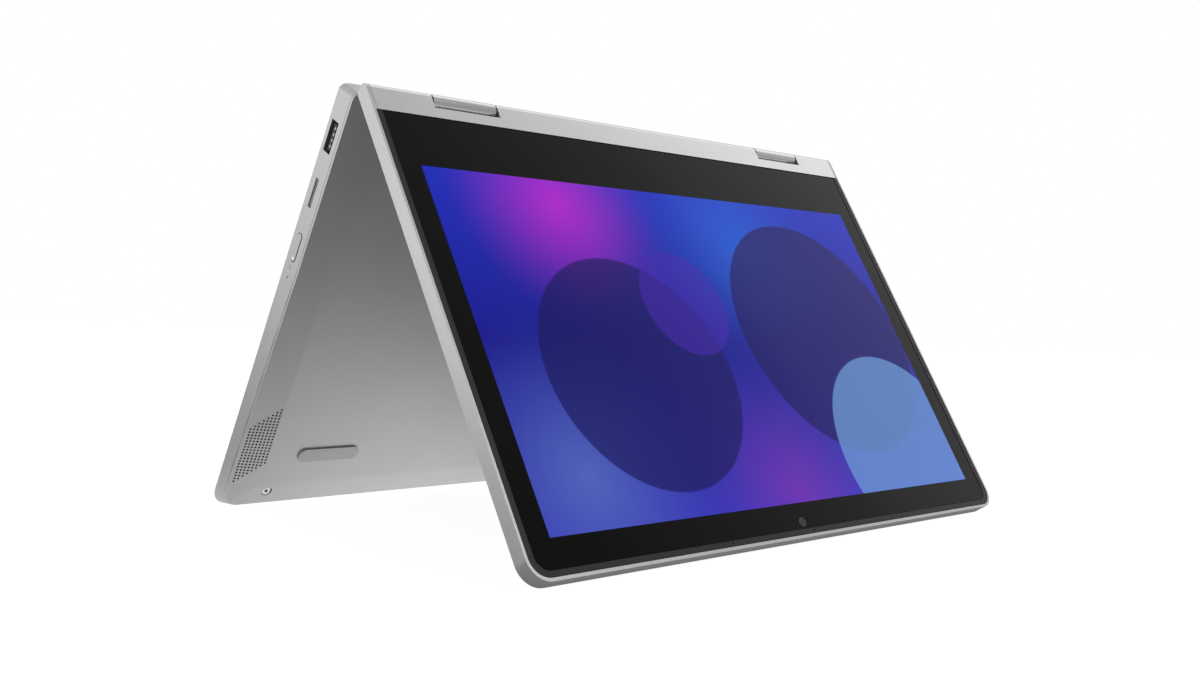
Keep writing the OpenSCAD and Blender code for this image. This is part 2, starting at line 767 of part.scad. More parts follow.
module board(x0, x1, y0, y1) {
    difference() {
        block(x0, x1, y0, y1, board_z, board_top);
        for (p = board_spots) post(p[0], p[1], 0, base_t, screw_r + pass_gap / 2);
    }
}

module mainboard() {
    color("darkgreen") base_frame() board(board_x0, board_x1, board_y, board_y + board_h);
}

module connector_board() {
    color("darkgreen") base_frame() board(io_x0, io_x1, board_y, board_y + io_h);
}

module board_screws() {
    color("gray") base_frame() for (p = board_spots) {
        post(p[0], p[1], board_top, board_top + small_head_h, small_head_r);
        post(p[0], p[1], cover_t + side_seat, board_top + overlap, screw_r);
    }
}

cpu_x = board_x0 + 0.345 * board_w;                // the processor's corner on the mainboard
cpu_y = board_y + 0.6 * board_h;
memory_x = cpu_x + cpu_w + memory_gap;
memory_pitch = memory_w + memory_gap / 2;
spreader_rim = (memory_pitch + memory_w - cpu_h) / 2;

module processor() {
    color("dimgray") base_frame() block(cpu_x, cpu_x + cpu_w, cpu_y, cpu_y + cpu_h, board_top,
        board_top + chip_h);
}

// Flat plate that carries the processor's heat into the base, with no fan
module heat_spreader() {
    color("peru") base_frame() block(cpu_x - cpu_w, memory_x + memory_pitch,
        cpu_y - spreader_rim, cpu_y + cpu_h + spreader_rim, board_top + chip_h,
        board_top + chip_h + spreader_t);
}

// Four chips in two rows beside the processor
module memory_chips() {
    color("black") base_frame() for (i = [0:1]) for (j = [0:1])
        translate([memory_x + i * memory_pitch, cpu_y - spreader_rim + j * memory_pitch, 0])
            block(0, memory_w, 0, memory_w, board_top, board_top + chip_h - side_seat);
}

module storage_module() {
    y1 = cpu_y - spreader_rim - memory_gap;
    color("seagreen") base_frame() block(cpu_x, cpu_x + storage_w, y1 - card_module_h, y1,
        board_top, board_top + chip_h);
}

module wireless_card() {
    x0 = board_x0 + 2 * board_corner;
    y1 = board_y + board_h - 2 * board_corner;
    color("seagreen") base_frame() block(x0, x0 + wireless_w, y1 - card_module_h * 4 / 3, y1,
        board_top, board_top + chip_h);
}

battery_x = half_w - battery_side;
battery_y0 = board_y + max(board_h, io_h) + battery_rear;
battery_y1 = hinge_to_front - battery_front;

module battery_pack() {
    color([0.13, 0.13, 0.14]) base_frame() plate(-battery_x, battery_y0, battery_x,
        battery_y1, pad_r, pad_r, cover_t + side_seat, cover_t + side_seat + battery_t);
}

module speaker() {
    x1 = half_w - wall - speaker_gap;
    z0 = belly_side(x1, speaker_y + speaker_len / 2) + cover_t + side_seat;
    block(x1 - speaker_w, x1, speaker_y - speaker_len / 2, speaker_y + speaker_len / 2, z0,
        z0 + speaker_t);
}

module speaker_left() { color([0.12, 0.12, 0.12]) base_frame() speaker(); }
module speaker_right() { color([0.12, 0.12, 0.12]) base_frame() mirror([1, 0, 0]) speaker(); }

// Flat cable between the two boards
module ribbon_cable() {
    color("ivory") base_frame() block(io_x1 - board_corner / 2,
        board_x0 + board_corner / 2, cpu_y, cpu_y + cable_w, board_top, board_top + cable_t);
}

// A socket on a board, with its mouth at the right (side -1) or left (side 1) wall
module socket(side, y, w, h, depth, tongue_w, tongue_h) {
    x_mouth = half_w - wall - side_seat;
    mirror([side < 0 ? 1 : 0, 0, 0]) union() {
        difference() {
            block(x_mouth - depth, x_mouth, y - w / 2 - shell_t, y + w / 2 + shell_t, board_top,
                port_z + h / 2 + shell_t);
            block(x_mouth - depth + shell_t, x_mouth + through, y - w / 2, y + w / 2,
                port_z - h / 2, port_z + h / 2);
        }
        block(x_mouth - depth + shell_t / 2, x_mouth - tongue_back, y - tongue_w / 2, y + tongue_w / 2,
            port_z - tongue_h / 2, port_z + tongue_h / 2);
    }
}

module usb_socket_right() {
    color("gray") base_frame() socket(-1, usb_y, usb_w, usb_h, usb_depth, usb_w - tongue_side, usb_h / 3);
}

module card_slot() {
    color("gray") base_frame() socket(-1, card_y, card_w, card_h, usb_depth,
        card_w - 2 * tongue_side, card_h / 4);
}

module hdmi_socket() {
    color("gray") base_frame() socket(1, hdmi_y, hdmi_w, hdmi_h, usb_depth, hdmi_w - 2 * tongue_side,
        hdmi_h / 4);
}

module usb_socket_left() {
    color("gray") base_frame() socket(1, usb_left_y, usb_w, usb_h, usb_depth,
        usb_w - tongue_side, usb_h / 3);
}

module usb_c_socket() {
    color("gray") base_frame() socket(1, usbc_y, usbc_w, usbc_h, usbc_depth, usbc_w - tongue_side,
        usbc_h / 4);
}

// A round socket in a block on the mainboard
module round_socket(y, r, depth) {
    x_mouth = half_w - wall - side_seat;
    difference() {
        block(x_mouth - depth - socket_wall, x_mouth, y - r - socket_wall, y + r + socket_wall,
            board_top, port_z + r + socket_wall);
        rod(x_mouth - depth, x_mouth + through, y, port_z, r);
    }
}

module power_inlet() {
    color([0.1, 0.1, 0.1]) base_frame() union() {
        round_socket(inlet_y, inlet_r, inlet_depth);
        rod(half_w - wall - side_seat - inlet_depth - overlap, half_w - wall - tongue_back, inlet_y,
            port_z, inlet_r / 4);
    }
}

module audio_jack() {
    color([0.1, 0.1, 0.1]) base_frame() round_socket(jack_y, jack_r, jack_depth);
}

// Feet

module foot(x, y, len) {
    plate(x - len / 2, y - foot_w / 2, x + len / 2, y + foot_w / 2, foot_w / 2 - overlap,
        foot_w / 2 - overlap, -foot_h, 0);
}

module front_feet() {
    color("darkgray") base_frame() both_sides() foot(foot_x, foot_y, foot_len);
}

module rear_foot() {
    color("darkgray") base_frame() foot(0, rear_foot_y, rear_foot_len);
}

// Hinges

knuckle_x1 = notch_x0 - notch_wall - pass_gap;
knuckle_x0 = knuckle_x1 - knuckle_w;
shaft_x0 = knuckle_x0 - washer_w - 10 * side_seat;

module barrel() {
    difference() {
        union() {
            rod(hinge_x - barrel_w / 2, hinge_x + barrel_w / 2, 0, 0, barrel_r);
            rod(hinge_x - barrel_w / 2, hinge_x + barrel_w / 2, 0, axes_gap, barrel_r);
            block(hinge_x - barrel_w / 2, hinge_x + barrel_w / 2, -barrel_r, barrel_r, 0, axes_gap);
        }
        for (z = [0, axes_gap]) rod(hinge_x - barrel_w, hinge_x, 0, z, shaft_r + snug);
    }
}

module hinge_barrel_left() { color("lightgray") link_frame() barrel(); }
module hinge_barrel_right() { color("lightgray") link_frame() mirror([1, 0, 0]) barrel(); }

module base_hinge_shafts() {
    color("dimgray") link_frame() both_sides() rod(shaft_x0, hinge_x - side_seat, 0, 0, shaft_r);
}

module lid_hinge_shafts() {
    color("dimgray") link_frame() both_sides() rod(shaft_x0, hinge_x - side_seat, 0, axes_gap, shaft_r);
}

module friction_washers() {
    color("gray") link_frame() both_sides() for (z = [0, axes_gap]) difference() {
        rod(knuckle_x0 - side_seat - washer_w, knuckle_x0 - side_seat, 0, z, lid_knuckle_r - side_seat);
        rod(shaft_x0 - through, knuckle_x0 + through, 0, z, shaft_r + snug);
    }
}

// Knuckle under the deck, with a web and a flange screwed to the deck
module base_bracket() {
    difference() {
        union() {
            rod(knuckle_x0, knuckle_x1, 0, base_axis_z, base_knuckle_r);
            block(knuckle_x0, knuckle_x1, -base_knuckle_r / 2, base_knuckle_r / 2, base_axis_z,
                deck_bottom - side_seat);
            block(knuckle_x0, knuckle_x1, -base_knuckle_r / 2, bracket_y, deck_bottom - bracket_t,
                deck_bottom - side_seat);
        }
        rod(knuckle_x0 - through, knuckle_x1 + through, 0, base_axis_z, shaft_r + running);
    }
}

module base_hinge_bracket_left() { color("dimgray") base_frame() base_bracket(); }
module base_hinge_bracket_right() { color("dimgray") base_frame() mirror([1, 0, 0]) base_bracket(); }

lid_inner_z = lid_back_z - lid_back_t;
arm_y = strip_y + arm_len;

module lid_bracket() {
    difference() {
        union() {
            rod(knuckle_x0, knuckle_x1, 0, 0, lid_knuckle_r);
            block(knuckle_x0, knuckle_x1, 0, arm_y, lid_inner_z - bracket_t,
                lid_inner_z - side_seat);
        }
        rod(knuckle_x0 - through, knuckle_x1 + through, 0, 0, shaft_r + running);
        for (p = lid_screw_spots) post(p[0], p[1], -lid_t, lid_t, screw_r + side_seat);
    }
}

lid_screw_spots = [for (x = [knuckle_x0 + lid_screw_in, knuckle_x1 - lid_screw_in])
    for (y = [strip_y, arm_y - lid_screw_in]) [x, y]];

module lid_hinge_bracket_left() { color("dimgray") lid_frame() lid_bracket(); }
module lid_hinge_bracket_right() { color("dimgray") lid_frame() mirror([1, 0, 0]) lid_bracket(); }

module lid_screws() {
    color("gray") lid_frame() both_sides() for (p = lid_screw_spots) {
        post(p[0], p[1], lid_inner_z - bracket_t - lid_head_h, lid_inner_z - bracket_t,
            lid_head_r);
        post(p[0], p[1], lid_inner_z - bracket_t - overlap, lid_inner_z + lid_back_t / 3,
            screw_r);
    }
}

// Lid

split_z = lid_t / 12;                              // where the strip meets the back cover

module lid_solid() {
    intersection() {
        along_x(-half_w, half_w) union() {
            circle(lid_t / 2);
            translate([0, -lid_t / 2]) square([hinge_to_front, lid_t]);
        }
        plate(-half_w, -lid_t / 2, half_w, hinge_to_front, lid_hinge_corner_r, lid_corner_r,
            -lid_t, lid_t);
    }
}

// Space for the hinge parts between the strip and the back cover
module hinge_channel() {
    x = half_w - strip_end - strip_t;
    difference() {
        union() {
            rod(-x, x, 0, 0, lid_t / 2 - strip_t);
            block(-x, x, 0, strip_y + overlap, strip_t - lid_t / 2, lid_inner_z);
        }
        notches(notch_wall, -lid_t, lid_t);
    }
}

module lid_back_cover() {
    color("silver") lid_frame() difference() {
        lid_solid();
        plate(rim_t - half_w, strip_y, half_w - rim_t, hinge_to_front - rim_far_t,
            inner_r, lid_corner_r - rim_t, -lid_t, lid_inner_z);
        hinge_channel();
        block(strip_end - half_w, half_w - strip_end, -lid_t, strip_y + overlap, -lid_t,
            split_z);
        notches(0, -lid_t, lid_t);
        both_sides() rod(notch_x0 - 2 * notch_wall, notch_x1, 0, 0, shaft_r + pass_gap);
        both_sides() for (p = lid_screw_spots)
            post(p[0], p[1], 0, lid_inner_z + lid_back_t / 2, screw_r + snug);
    }
}

module hinge_strip() {
    x = half_w - strip_end - side_seat;
    color("gainsboro") lid_frame() difference() {
        intersection() {
            lid_solid();
            block(-x, x, -lid_t, strip_y, -lid_t, split_z - side_seat);
        }
        hinge_channel();
        notches(0, -lid_t, lid_t);
        both_sides() rod(notch_x0 - 2 * notch_wall, notch_x1, 0, 0, shaft_r + pass_gap);
    }
}

module bezel_ring() {
    x = half_w - rim_t - ring_gap;
    y1 = hinge_to_front - rim_far_t - ring_gap;
    gx = glass_w / 2 + glass_gap;
    color([0.2, 0.2, 0.21]) lid_frame() difference() {
        plate(-x, strip_y + glass_gap, x, y1, inner_r, lid_corner_r - rim_t - ring_gap,
            ring_z, ring_z + ring_t);
        plate(-gx, 0, gx, glass_y1 + glass_gap, inner_r, glass_corner_r + glass_gap, -lid_t,
            lid_t);
        for (mx = [-mic_x, mic_inner_x]) post(mx, (glass_y1 + y1) / 2, -lid_t, lid_t, mic_r);
    }
}

camera_y = hinge_to_front - camera_far;

module touch_glass() {
    color([0.08, 0.08, 0.1]) lid_frame() difference() {
        plate(-glass_w / 2, glass_y0, glass_w / 2, glass_y1, inner_r, glass_corner_r, glass_z,
            glass_z + glass_t);
        post(0, camera_y, -lid_t, lid_t, camera_r + side_seat);
    }
}

module display_panel() {
    color("midnightblue") lid_frame() block(-active_w / 2 - panel_side, active_w / 2 + panel_side,
        active_y - panel_foot, active_y + active_h + panel_top, panel_z, panel_back);
}

module camera_lens() {
    color("black") lid_frame() post(0, camera_y, glass_z + side_seat, panel_z, camera_r);
}

module camera_module() {
    color("darkgreen") lid_frame() block(-camera_board_w / 2, camera_board_w / 2,
        camera_y - camera_board_h / 2, camera_y + camera_board_h / 2, panel_z, panel_back);
}

module microphone_board() {
    color("darkgreen") lid_frame() both_sides() block(mic_x - mic_board_w / 2,
        mic_x + mic_board_w / 2, camera_y - camera_board_h / 2, camera_y + camera_board_h / 2,
        panel_z, panel_z + board_t);
}

// Flat cable from the left hinge to the foot of the panel
module display_cable() {
    x1 = shaft_x0 - 2 * washer_w;
    y1 = active_y - panel_foot + cable_w;
    color("ivory") lid_frame() block(x1 - 2 * cable_w, x1, strip_y / 4, y1, panel_back,
        panel_back + cable_t);
}

module antennas() {
    color("goldenrod") lid_frame() both_sides() block(antenna_x, antenna_x + antenna_w, strip_y / 8,
        strip_y * 3 / 4, lid_inner_z - board_t / 2 - side_seat, lid_inner_z - side_seat);
}

bottom_cover();
keyboard_deck();
keyboard_backplate();
key_membrane();
touchpad_bracket();
mainboard();
processor();
heat_spreader();
memory_chips();
storage_module();
wireless_card();
battery_pack();
speaker_left();
speaker_right();
connector_board();
ribbon_cable();
usb_socket_right();
card_slot();
power_inlet();
hdmi_socket();
usb_socket_left();
usb_c_socket();
audio_jack();
front_feet();
rear_foot();
bottom_screws();
board_screws();
base_hinge_bracket_left();
base_hinge_bracket_right();
power_button();
touchpad();
space_bar();
enter_key();
backspace_key();
function_keys();
number_keys();
top_letter_keys();
home_letter_keys();
bottom_letter_keys();
modifier_keys();
hinge_barrel_left();
hinge_barrel_right();
base_hinge_shafts();
lid_hinge_shafts();
friction_washers();
lid_back_cover();
hinge_strip();
bezel_ring();
touch_glass();
display_panel();
lid_hinge_bracket_left();
lid_hinge_bracket_right();
camera_module();
camera_lens();
microphone_board();
display_cable();
antennas();
lid_screws();
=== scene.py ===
"""The looks of the convertible laptop: silver shells, black glass, lit screen and fittings."""
import json
import math

import bmesh
import bpy
from mathutils import Matrix, Vector


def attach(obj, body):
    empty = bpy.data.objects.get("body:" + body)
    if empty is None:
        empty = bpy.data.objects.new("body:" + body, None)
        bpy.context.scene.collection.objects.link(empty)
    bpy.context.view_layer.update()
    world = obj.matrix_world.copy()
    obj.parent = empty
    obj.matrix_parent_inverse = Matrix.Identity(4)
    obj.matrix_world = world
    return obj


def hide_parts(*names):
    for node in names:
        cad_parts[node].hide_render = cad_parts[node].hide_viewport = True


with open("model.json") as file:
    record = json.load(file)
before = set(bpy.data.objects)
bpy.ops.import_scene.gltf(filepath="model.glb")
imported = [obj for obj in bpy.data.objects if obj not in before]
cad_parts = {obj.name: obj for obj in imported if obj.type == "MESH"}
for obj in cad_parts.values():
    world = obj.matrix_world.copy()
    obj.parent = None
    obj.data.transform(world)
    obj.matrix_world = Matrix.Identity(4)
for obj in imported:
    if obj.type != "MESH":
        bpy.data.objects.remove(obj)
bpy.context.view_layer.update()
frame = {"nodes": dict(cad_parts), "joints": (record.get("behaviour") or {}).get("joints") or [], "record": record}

MM = 0.001
LID_OPEN = math.radians(300)            # the lid's angle from closed, as it stands
BASE_AXIS_Z = 5.45 * MM                 # height of the base's hinge axis above the belly
JOINTS = {joint["name"]: joint for joint in frame["joints"]}


# ---------------------------------------------------------------- frames of the base and the lid

def base_matrix():
    """From the base's own flat frame (hinge axis at y = 0, belly at z = 0, Z towards the keys)."""
    up = -Vector(JOINTS["space_bar_press"]["axis"]).normalized()
    across = Vector((1, 0, 0))
    ahead = up.cross(across)
    origin = Vector(JOINTS["base_hinge"]["pos_m"]) - BASE_AXIS_Z * up
    return Matrix.Translation(origin) @ Matrix((across, ahead, up)).transposed().to_4x4()


def lid_matrix():
    """From the lid's own frame (hinge axis at the origin, Y to the far edge, screen at -Z)."""
    turned = base_matrix().to_3x3() @ Matrix.Rotation(LID_OPEN, 3, "X")
    return Matrix.Translation(Vector(JOINTS["lid_hinge"]["pos_m"])) @ turned.to_4x4()


BASE = base_matrix()
LID = lid_matrix()

# Sizes shared with the solids, in metres
HALF_W = 141.2 * MM
BASE_T = 11.7 * MM
FRONT_Y = 191 * MM
PORT_Z = BASE_T - 4.5 * MM              # the sockets' middle height
USB_RIGHT_Y = 17.8 * MM
USB_LEFT_Y = 50 * MM
CARD_Y = 41.2 * MM
POWER_Y = 64.8 * MM
GLASS_Z = -2.6 * MM
ACTIVE = (256.1 * MM, 144 * MM)         # the lit picture
ACTIVE_Y = 32.7 * MM
BEVEL_W = 13.1 * MM                     # the belly's bevels, which deepen towards the front
BEVEL_REAR_H = 0.8 * MM
BEVEL_FRONT_H = 3.5 * MM
BEVEL_START = 76 * MM
BELLY_FRONT = 186.2 * MM
COVER_T = 1.2 * MM
COVER_GAP = 0.15 * MM                   # the seam between the cover and the deck


# ---------------------------------------------------------------- node materials

class Nodes:
    """Short names for building one material's node tree."""

    def __init__(self, name):
        self.material = bpy.data.materials.new(name)
        self.material.use_nodes = True
        self.tree = self.material.node_tree
        self.shader = self.tree.nodes["Principled BSDF"]

    def add(self, kind, **settings):
        node = self.tree.nodes.new(kind)
        for key, value in settings.items():
            if key in node.inputs:
                node.inputs[key].default_value = value
            else:
                setattr(node, key, value)
        return node

    def link(self, source, target):
        self.tree.links.new(source, target)

    def set(self, **values):
        for key, value in values.items():
            self.shader.inputs[key.replace("_", " ")].default_value = value

    def where(self, scale=(1.0, 1.0, 1.0)):
        """Position on the object, stretched along its axes."""
        coords = self.add("ShaderNodeTexCoord")
        mapping = self.add("ShaderNodeMapping")
        mapping.inputs["Scale"].default_value = scale
        self.link(coords.outputs["Object"], mapping.inputs["Vector"])
        return mapping.outputs["Vector"]

    def noise(self, scale, detail=3.0, roughness=0.5):
        node = self.add("ShaderNodeTexNoise", Scale=scale, Detail=detail, Roughness=roughness)
        self.link(self.where(), node.inputs["Vector"])
        return node.outputs["Fac"]

    def spread(self, value, low, high):
        node = self.add("ShaderNodeMapRange")
        node.inputs["From Min"].default_value = 0.3
        node.inputs["From Max"].default_value = 0.7
        node.inputs["To Min"].default_value = low
        node.inputs["To Max"].default_value = high
        self.link(value, node.inputs["Value"])
        return node.outputs["Result"]

    def tint(self, value, low, high):
        ramp = self.add("ShaderNodeValToRGB")
        ramp.color_ramp.elements[0].position = 0.3
        ramp.color_ramp.elements[0].color = (*low, 1)
        ramp.color_ramp.elements[1].position = 0.7
        ramp.color_ramp.elements[1].color = (*high, 1)
        self.link(value, ramp.inputs["Fac"])
        self.link(ramp.outputs["Color"], self.shader.inputs["Base Color"])

    def bump(self, value, strength, distance):
        node = self.add("ShaderNodeBump", Strength=strength, Distance=distance)
        self.link(value, node.inputs["Height"])
        self.link(node.outputs["Normal"], self.shader.inputs["Normal"])


def around(colour, amount):
    """A darker and a lighter shade of a colour."""
    return [c * (1 - amount) for c in colour], [min(1.0, c * (1 + amount)) for c in colour]


def grained(name, colour, metallic, roughness, grain=900.0, variation=0.04, relief=0.08,
            depth=0.00002, rough_spread=0.06, **extra):
    """A surface with soft cloudy tone, fine grain in its relief and uneven gloss."""
    m = Nodes(name)
    m.set(Metallic=metallic, **extra)
    low, high = around(colour, variation)
    m.tint(m.noise(30.0, 2.0), low, high)
    m.link(m.spread(m.noise(grain * 0.5), roughness - rough_spread, roughness + rough_spread),
           m.shader.inputs["Roughness"])
    m.bump(m.noise(grain, 4.0, 0.6), relief, depth)
    return m.material


LINE_STRETCH = (12.0, 400.0, 400.0)     # brushed lines are long along X


def brushed(name, colour, roughness):
    """Metal with fine lines that run across, along X."""
    m = Nodes(name)
    m.set(Metallic=0.9)
    lines = m.add("ShaderNodeTexNoise", Scale=6.0, Detail=5.0, Roughness=0.7)
    m.link(m.where(LINE_STRETCH), lines.inputs["Vector"])
    low, high = around(colour, 0.06)
    m.tint(lines.outputs["Fac"], low, high)
    m.link(m.spread(lines.outputs["Fac"], roughness - 0.05, roughness + 0.08),
           m.shader.inputs["Roughness"])
    m.bump(lines.outputs["Fac"], 0.05, 0.00002)
    return m.material


def glowing(name, colour, strength):
    """A small light that is on."""
    m = Nodes(name)
    m.set(Base_Color=(*colour, 1), Emission_Color=(*colour, 1), Emission_Strength=strength)
    m.bump(m.noise(600.0), 0.05, 0.00001)
    return m.material


SILVER = (0.5, 0.5, 0.502)
GLASS_IOR = 1.2                         # a coated screen, with less glare than plain glass
MATERIALS = {
    "shell_silver": grained("shell_silver", SILVER, 0.85, 0.36, grain=1400.0, variation=0.012,
                            relief=0.03, depth=0.000005, rough_spread=0.03),
    "strip_silver": grained("strip_silver", (0.66, 0.66, 0.662), 0.9, 0.22, grain=1400.0,
                            variation=0.01, relief=0.0, rough_spread=0.03),
    "hinge_metal": grained("hinge_metal", (0.66, 0.66, 0.665), 0.95, 0.13, grain=1600.0,
                           variation=0.01, relief=0.0, rough_spread=0.02),
    "steel": brushed("steel", (0.42, 0.42, 0.43), 0.35),
    "socket_metal": brushed("socket_metal", (0.58, 0.58, 0.59), 0.36),
    "black_plastic": grained("black_plastic", (0.018, 0.018, 0.019), 0.0, 0.5),
    "key_plastic": grained("key_plastic", (0.045, 0.047, 0.052), 0.0, 0.52, grain=2200.0,
                           variation=0.06, relief=0.12),
    "touchpad_silver": grained("touchpad_silver", (0.4, 0.4, 0.405), 0.5, 0.38, variation=0.01,
                               relief=0.0),
    "membrane_film": grained("membrane_film", (0.5, 0.5, 0.47), 0.0, 0.4),
    "circuit_board": grained("circuit_board", (0.01, 0.09, 0.035), 0.0, 0.4, variation=0.2),
    "chip_black": grained("chip_black", (0.015, 0.015, 0.016), 0.0, 0.45),
    "copper": brushed("copper", (0.62, 0.3, 0.16), 0.3),
    "foot_rubber": grained("foot_rubber", (0.44, 0.44, 0.442), 0.6, 0.42, variation=0.02,
                           relief=0.08, depth=0.00001),
    "bezel_grey": grained("bezel_grey", (0.012, 0.012, 0.0125), 0.0, 0.42, relief=0.1,
                          IOR=1.35),
    "screen_glass": grained("screen_glass", (0.003, 0.003, 0.0032), 0.0, 0.05, variation=0.1,
                            relief=0.0, rough_spread=0.01, IOR=GLASS_IOR),
    "display_stack": grained("display_stack", (0.03, 0.03, 0.05), 0.0, 0.3),
    "screw_metal": brushed("screw_metal", (0.78, 0.78, 0.79), 0.2),
    "lens_black": grained("lens_black", (0.006, 0.006, 0.012), 0.0, 0.05, relief=0.0,
                          rough_spread=0.01),
}


# ---------------------------------------------------------------- the solids' own surfaces

def bevel_edges(piece, width, angle):
    """Small rounded edges on a solid, as moulding and machining leave them."""
    weld = piece.modifiers.new("weld", "WELD")
    weld.merge_threshold = 0.002 * MM
    bevel = piece.modifiers.new("edges", "BEVEL")
    bevel.width = width
    bevel.segments = 2
    bevel.limit_method = "ANGLE"
    bevel.angle_limit = math.radians(angle)
    bevel.use_clamp_overlap = True


def even_normals(piece, keep_sharp=False):
    """Normals that follow the large faces, so that they stay flat beside rounded edges."""
    normals = piece.modifiers.new("normals", "WEIGHTED_NORMAL")
    normals.weight = 50
    normals.keep_sharp = keep_sharp


EDGES = {  # how far each solid's edges are rounded, in millimetres
    "keyboard_deck": 0.18, "lid_back_cover": 0.5, "hinge_strip": 0.25, "hinge_barrel_left": 0.3,
    "hinge_barrel_right": 0.3, "touch_glass": 0.12, "bezel_ring": 0.12, "front_feet": 0.75,
    "rear_foot": 0.75, "touchpad": 0.12, "power_button": 0.15,
}
KEY_NODES = ["function_keys", "number_keys", "backspace_key", "top_letter_keys",
             "home_letter_keys", "enter_key", "bottom_letter_keys", "space_bar", "modifier_keys"]
EDGES.update({name: 0.3 for name in KEY_NODES})


def dress_solids():
    slots = {part["node"]: part["material_slot"] for part in frame["record"]["subparts"]}
    for name, node in frame["nodes"].items():
        node.data.materials.clear()
        finish = "screw_metal" if name == "bottom_screws" else slots[name]
        node.data.materials.append(MATERIALS[finish])
        if name in EDGES:
            bevel_edges(node, EDGES[name] * MM, 35)
            even_normals(node)


# ---------------------------------------------------------------- mesh helpers

def finish_mesh(name, mesh_data, matrix, body, material):
    """Turns a bmesh in a flat frame into a piece that rides on a body."""
    mesh = bpy.data.meshes.new(name)
    mesh_data.to_mesh(mesh)
    mesh_data.free()
    mesh.transform(matrix)
    piece = bpy.data.objects.new(name, mesh)
    bpy.context.scene.collection.objects.link(piece)
    mesh.materials.append(material)
    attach(piece, body)


def add_box(bm, low, high):
    centre = (Vector(low) + Vector(high)) / 2
    size = Vector(high) - Vector(low)
    matrix = Matrix.Translation(centre) @ Matrix.Diagonal((*size, 1))
    bmesh.ops.create_cube(bm, size=1.0, matrix=matrix)


def add_disc(bm, centre, radius, depth, axis="Z", sides=24):
    turn = {"Z": Matrix.Identity(4), "X": Matrix.Rotation(math.pi / 2, 4, "Y")}[axis]
    bmesh.ops.create_cone(bm, cap_ends=True, segments=sides, radius1=radius, radius2=radius,
                          depth=depth, matrix=Matrix.Translation(centre) @ turn)


# ---------------------------------------------------------------- bottom cover with its grilles

GRILLE_PITCH = 1.47 * MM
GRILLE_R = 0.44 * MM
GRILLE_COLUMNS = 8
GRILLE_FULL_ROWS = 12
GRILLE_REAR_Y = 136.1 * MM
GRILLE_OUTER_X = 139.6 * MM
GRILLE_FIELD = ((128.4 * MM, 135 * MM), (139.7 * MM, 174.5 * MM))   # x and y around the holes
BORE_AREA = 2e-6                        # the holes' own faces are smaller than this, in m2


def grille_holes():
    """Places of one grille's holes: a parallelogram whose ends slant in step with its columns."""
    n = GRILLE_COLUMNS
    total = 2 * (n - 1) + GRILLE_FULL_ROWS + 1
    for row in range(total - 1):
        first = max(0, row - (n - 1 + GRILLE_FULL_ROWS - 1))
        last = min(n - 1, row)
        for column in range(first, last + 1):
            x = GRILLE_OUTER_X - (n - 1 - column) * GRILLE_PITCH
            y = GRILLE_REAR_Y + row * GRILLE_PITCH
            yield x, y


def bottom_cover():
    """The belly: the solid's own shape, with soft edges and both grilles drilled through it; the holes' walls are
    painted black as painted shade.
    """
    node = frame["nodes"]["bottom_cover"]
    mesh = node.data.copy()
    mesh.name = "belly"
    piece = bpy.data.objects.new("belly_cover", mesh)
    bpy.context.scene.collection.objects.link(piece)
    bevel_edges(piece, 0.3 * MM, 50)
    drills = bmesh.new()
    for x, y in grille_holes():
        for side in (-1, 1):
            add_disc(drills, (side * x, y, 2.5 * MM), GRILLE_R, 8 * MM, sides=10)
    tool_mesh = bpy.data.meshes.new("drills")
    drills.to_mesh(tool_mesh)
    drills.free()
    tool_mesh.transform(BASE)
    tool = bpy.data.objects.new("drills", tool_mesh)
    bpy.context.scene.collection.objects.link(tool)
    cut = piece.modifiers.new("cut", "BOOLEAN")
    cut.operation = "DIFFERENCE"
    cut.solver = "EXACT"
    cut.object = tool
    graph = bpy.context.evaluated_depsgraph_get()
    drilled = bpy.data.meshes.new_from_object(piece.evaluated_get(graph))
    drilled.validate()
    piece.modifiers.clear()
    piece.data = drilled
    bpy.data.objects.remove(tool)
    drilled.materials.clear()
    drilled.materials.append(MATERIALS["shell_silver"])
    # second material: black, painted shade on the walls of the grille holes
    drilled.materials.append(MATERIALS["chip_black"])
    up = BASE.to_3x3() @ Vector((0, 0, 1))
    flat = BASE.inverted()
    (inner_x, rear_y), (outer_x, front_y) = GRILLE_FIELD
    for polygon in drilled.polygons:
        polygon.use_smooth = True
        place = flat @ polygon.center
        in_grille = abs(place.x) > inner_x + 0.4 * MM and rear_y < place.y < front_y
        # the holes' walls get the black material: painted shade inside the holes
        if in_grille and abs(polygon.normal.dot(up)) < 0.3 and polygon.area < BORE_AREA:
            polygon.material_index = 1
    drilled.set_sharp_from_angle(angle=math.radians(18))
    even_normals(piece, keep_sharp=True)
    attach(piece, "base")
    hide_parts("bottom_cover")
    back = bmesh.new()
    for side in (-1, 1):
        x0, x1 = sorted((side * inner_x, side * outer_x))
        add_box(back, (x0, rear_y, 3.86 * MM), (x1, front_y, 3.92 * MM))
    mesh_cloth = grained("grille_mesh", (0.012, 0.012, 0.013), 0.0, 0.7)
    finish_mesh("grille_mesh", back, BASE, "base", mesh_cloth)


# ---------------------------------------------------------------- the lit picture

PICTURE_GLOWS = (  # x, y, radius, soft edge, colour, strength: x runs 0..16, y runs 0..9 upwards
    (10.2, 7.4, 0.8, 3.6, (0.001, 0.14, 0.72), 0.9),
    (3.8, 8.3, 0.6, 3.0, (0.62, 0.010, 0.66), 1.0),
    (8.4, 0.2, 0.5, 3.2, (0.24, 0.020, 0.42), 0.85),
    (1.6, 1.2, 0.6, 3.6, (0.12, 0.20, 0.55), 0.85),
)
PICTURE_DISCS = (  # x, y, radius, colour, strength
    (4.6, 3.7, 3.1, (0.004, 0.002, 0.11), 0.8),
    (12.4, 4.7, 3.6, (0.005, 0.002, 0.12), 0.85),
    (13.9, 0.9, 3.1, (0.14, 0.30, 0.66), 0.65),
    (7.0, 5.6, 1.5, (0.05, 0.012, 0.40), 0.5),
)
DISC_EDGE = 0.03


